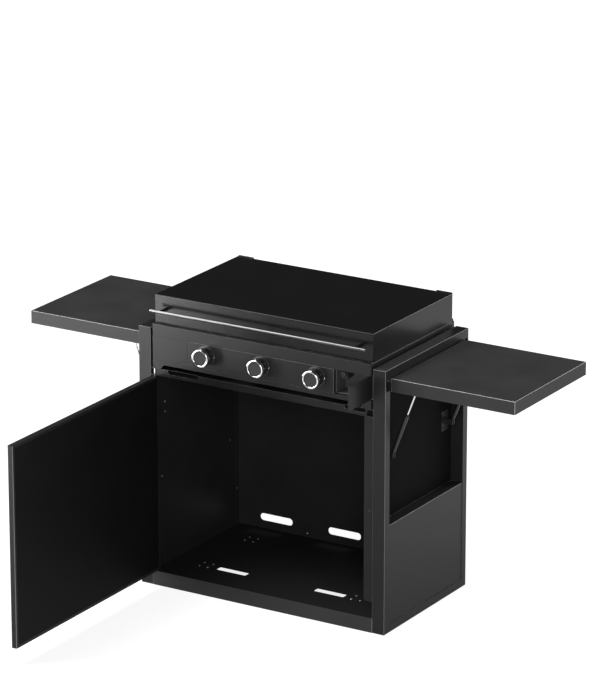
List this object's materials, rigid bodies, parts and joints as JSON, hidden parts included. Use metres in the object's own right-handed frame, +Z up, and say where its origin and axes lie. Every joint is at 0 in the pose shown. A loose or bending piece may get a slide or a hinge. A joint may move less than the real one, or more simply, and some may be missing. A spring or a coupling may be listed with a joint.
{
  "type": "outdoor gas griddle station",
  "caption": "Outdoor gas griddle on an open-fronted steel cabinet with a hinged door, fold-down side shelves, lift-off lid, control knobs and a grease tray.",
  "frame": {"origin": "on the floor, below the middle of the cabinet's front face", "axes": "+X to the user's right along the width, +Y from the front to the back, +Z up"},
  "size_m": [1.836, 1.356, 1.0146],
  "materials": {
    "body_black": "satin powder coat",
    "liner_black": "satin powder coat",
    "shelf_black": "satin powder coat",
    "box_black": "satin powder coat",
    "lid_black": "semi-gloss powder coat",
    "tray_black": "satin enamel",
    "enamel": "gloss enamel",
    "dark_steel": "black zinc",
    "zinc_steel": "zinc plated",
    "stainless": "bright rolled",
    "burner_steel": "bright",
    "handle_steel": "brushed",
    "pipe_aluminium": "drawn",
    "brass": "machined",
    "ring_chrome": "polished",
    "rod_chrome": "polished",
    "strut_black": "gloss",
    "bezel_black": "satin",
    "knob_black": "fine texture",
    "black_plastic": "moulded",
    "module_plastic": "moulded",
    "red_silicone": "satin",
    "white_ceramic": "glazed"
  },
  "bodies": {
    "cabinet": {"side_panel_left": "body_black", "side_panel_right": "body_black", "side_skins": "body_black", "floor_plate": "body_black", "back_panel": "body_black", "deck": "body_black", "hose_grommet": "black_plastic", "levelling_feet": "zinc_steel", "cabinet_screws": "zinc_steel", "door_stop": "body_black", "door_magnet": "black_plastic", "hinge_pins": "zinc_steel", "strut_brackets": "dark_steel"},
    "door": {"door_panel": "body_black", "door_liner": "liner_black"},
    "shelf_left": {"side_shelf_left": "shelf_black"},
    "shelf_right": {"side_shelf_right": "shelf_black"},
    "tray": {"grease_tray": "tray_black"},
    "burner_box": {"box_base": "box_black", "box_sides": "box_black", "box_rim": "box_black", "control_panel": "box_black", "end_panel": "box_black", "compartment_liner": "black_plastic", "igniter_module": "module_plastic", "burner_pan": "stainless", "u_burners": "burner_steel", "centre_burners": "burner_steel", "igniter_sleeves": "red_silicone", "igniter_electrodes": "white_ceramic", "gas_pipes": "pipe_aluminium", "gas_valves": "brass", "grease_chute": "stainless", "griddle_clips": "dark_steel", "knob_bezels": "bezel_black"},
    "battery_door": {"compartment_door": "box_black"},
    "griddle": {"griddle_pan": "enamel", "griddle_hook": "dark_steel", "griddle_legs": "dark_steel"},
    "lid_hinge": {"lid_hinge_bases": "dark_steel"},
    "lid": {"lid_shell": "lid_black", "lid_handle": "handle_steel", "lid_hinge_leaves": "dark_steel"},
    "strut_left_front": {"strut_cylinder_left_front": "strut_black"},
    "rod_left_front": {"strut_rod_left_front": "rod_chrome"},
    "strut_left_rear": {"strut_cylinder_left_rear": "strut_black"},
    "rod_left_rear": {"strut_rod_left_rear": "rod_chrome"},
    "strut_right_front": {"strut_cylinder_right_front": "strut_black"},
    "rod_right_front": {"strut_rod_right_front": "rod_chrome"},
    "strut_right_rear": {"strut_cylinder_right_rear": "strut_black"},
    "rod_right_rear": {"strut_rod_right_rear": "rod_chrome"},
    "stem_left": {"valve_stem_left": "brass"},
    "knob_left_body": {"knob_left": "knob_black", "knob_ring_left": "ring_chrome"},
    "stem_middle": {"valve_stem_middle": "brass"},
    "knob_middle_body": {"knob_middle": "knob_black", "knob_ring_middle": "ring_chrome"},
    "stem_right": {"valve_stem_right": "brass"},
    "knob_right_body": {"knob_right": "knob_black", "knob_ring_right": "ring_chrome"}
  },
  "joints": [
    {"name": "door_swing", "type": "hinge", "parent": "cabinet", "child": "door", "pos_m": [-0.4115, 0.0095, 0.3955], "axis": [0, 0, -1], "range_deg": [-90, 0]},
    {"name": "shelf_left_fold", "type": "hinge", "parent": "cabinet", "child": "shelf_left", "pos_m": [-0.4615, 0.2685, 0.861], "axis": [0, 1, 0], "range_deg": [-90, 0]},
    {"name": "strut_left_front_swing", "type": "hinge", "parent": "cabinet", "child": "strut_left_front", "pos_m": [-0.45, 0.075, 0.595], "axis": [0, -1, 0], "range_deg": [-25.56, 0]},
    {"name": "rod_left_front_slide", "type": "slide", "parent": "strut_left_front", "child": "rod_left_front", "axis": [-0.3596, 0, 0.9331], "range_m": [-0.07164, 0]},
    {"name": "strut_left_rear_swing", "type": "hinge", "parent": "cabinet", "child": "strut_left_rear", "pos_m": [-0.45, 0.462, 0.595], "axis": [0, -1, 0], "range_deg": [-25.56, 0]},
    {"name": "rod_left_rear_slide", "type": "slide", "parent": "strut_left_rear", "child": "rod_left_rear", "axis": [-0.3596, 0, 0.9331], "range_m": [-0.07164, 0]},
    {"name": "shelf_right_fold", "type": "hinge", "parent": "cabinet", "child": "shelf_right", "pos_m": [0.4615, 0.2685, 0.861], "axis": [0, -1, 0], "range_deg": [-90, 0]},
    {"name": "strut_right_front_swing", "type": "hinge", "parent": "cabinet", "child": "strut_right_front", "pos_m": [0.45, 0.075, 0.595], "axis": [0, 1, 0], "range_deg": [-25.56, 0]},
    {"name": "rod_right_front_slide", "type": "slide", "parent": "strut_right_front", "child": "rod_right_front", "axis": [0.3596, 0, 0.9331], "range_m": [-0.07164, 0]},
    {"name": "strut_right_rear_swing", "type": "hinge", "parent": "cabinet", "child": "strut_right_rear", "pos_m": [0.45, 0.462, 0.595], "axis": [0, 1, 0], "range_deg": [-25.56, 0]},
    {"name": "rod_right_rear_slide", "type": "slide", "parent": "strut_right_rear", "child": "rod_right_rear", "axis": [0.3596, 0, 0.9331], "range_m": [-0.07164, 0]},
    {"name": "tray_slide", "type": "slide", "parent": "cabinet", "child": "tray", "axis": [0, -1, 0], "range_m": [-0.4, 0]},
    {"name": "box_lift", "type": "slide", "parent": "cabinet", "child": "burner_box", "axis": [0, 0, 1], "range_m": [0, 0.2401]},
    {"name": "battery_door_swing", "type": "hinge", "parent": "burner_box", "child": "battery_door", "pos_m": [0.407, 0.0045, 0.8343], "axis": [0, 0, 1], "range_deg": [-90, 0]},
    {"name": "stem_left_push", "type": "slide", "parent": "burner_box", "child": "stem_left", "axis": [0, -1, 0], "range_m": [-0.003, 0], "stiffness_N_per_m": 800},
    {"name": "knob_left_turn", "type": "hinge", "parent": "stem_left", "child": "knob_left_body", "pos_m": [-0.2065, -0.02, 0.8387], "axis": [0, 1, 0], "range_deg": [-130, 0]},
    {"name": "stem_middle_push", "type": "slide", "parent": "burner_box", "child": "stem_middle", "axis": [0, -1, 0], "range_m": [-0.003, 0], "stiffness_N_per_m": 800},
    {"name": "knob_middle_turn", "type": "hinge", "parent": "stem_middle", "child": "knob_middle_body", "pos_m": [0.0025, -0.02, 0.8387], "axis": [0, 1, 0], "range_deg": [-130, 0]},
    {"name": "stem_right_push", "type": "slide", "parent": "burner_box", "child": "stem_right", "axis": [0, -1, 0], "range_m": [-0.003, 0], "stiffness_N_per_m": 800},
    {"name": "knob_right_turn", "type": "hinge", "parent": "stem_right", "child": "knob_right_body", "pos_m": [0.2115, -0.02, 0.8387], "axis": [0, 1, 0], "range_deg": [-130, 0]},
    {"name": "griddle_lift", "type": "slide", "parent": "burner_box", "child": "griddle", "axis": [0, 0, 1], "range_m": [0, 0.2263]},
    {"name": "lid_lift", "type": "slide", "parent": "griddle", "child": "lid_hinge", "axis": [0, 0, 1], "range_m": [0, 0.2672]},
    {"name": "lid_open", "type": "hinge", "parent": "lid_hinge", "child": "lid", "pos_m": [0, 0.531, 0.921], "axis": [1, 0, 0], "range_deg": [-95, 0]}
  ],
  "couplings": [
    {"joint": "strut_left_front_swing", "follows": "shelf_left_fold", "ratio": 0.28399},
    {"joint": "rod_left_front_slide", "follows": "shelf_left_fold", "m_per_rad": 0.045607},
    {"joint": "strut_left_rear_swing", "follows": "shelf_left_fold", "ratio": 0.28399},
    {"joint": "rod_left_rear_slide", "follows": "shelf_left_fold", "m_per_rad": 0.045607},
    {"joint": "strut_right_front_swing", "follows": "shelf_right_fold", "ratio": 0.28399},
    {"joint": "rod_right_front_slide", "follows": "shelf_right_fold", "m_per_rad": 0.045607},
    {"joint": "strut_right_rear_swing", "follows": "shelf_right_fold", "ratio": 0.28399},
    {"joint": "rod_right_rear_slide", "follows": "shelf_right_fold", "m_per_rad": 0.045607}
  ]
}
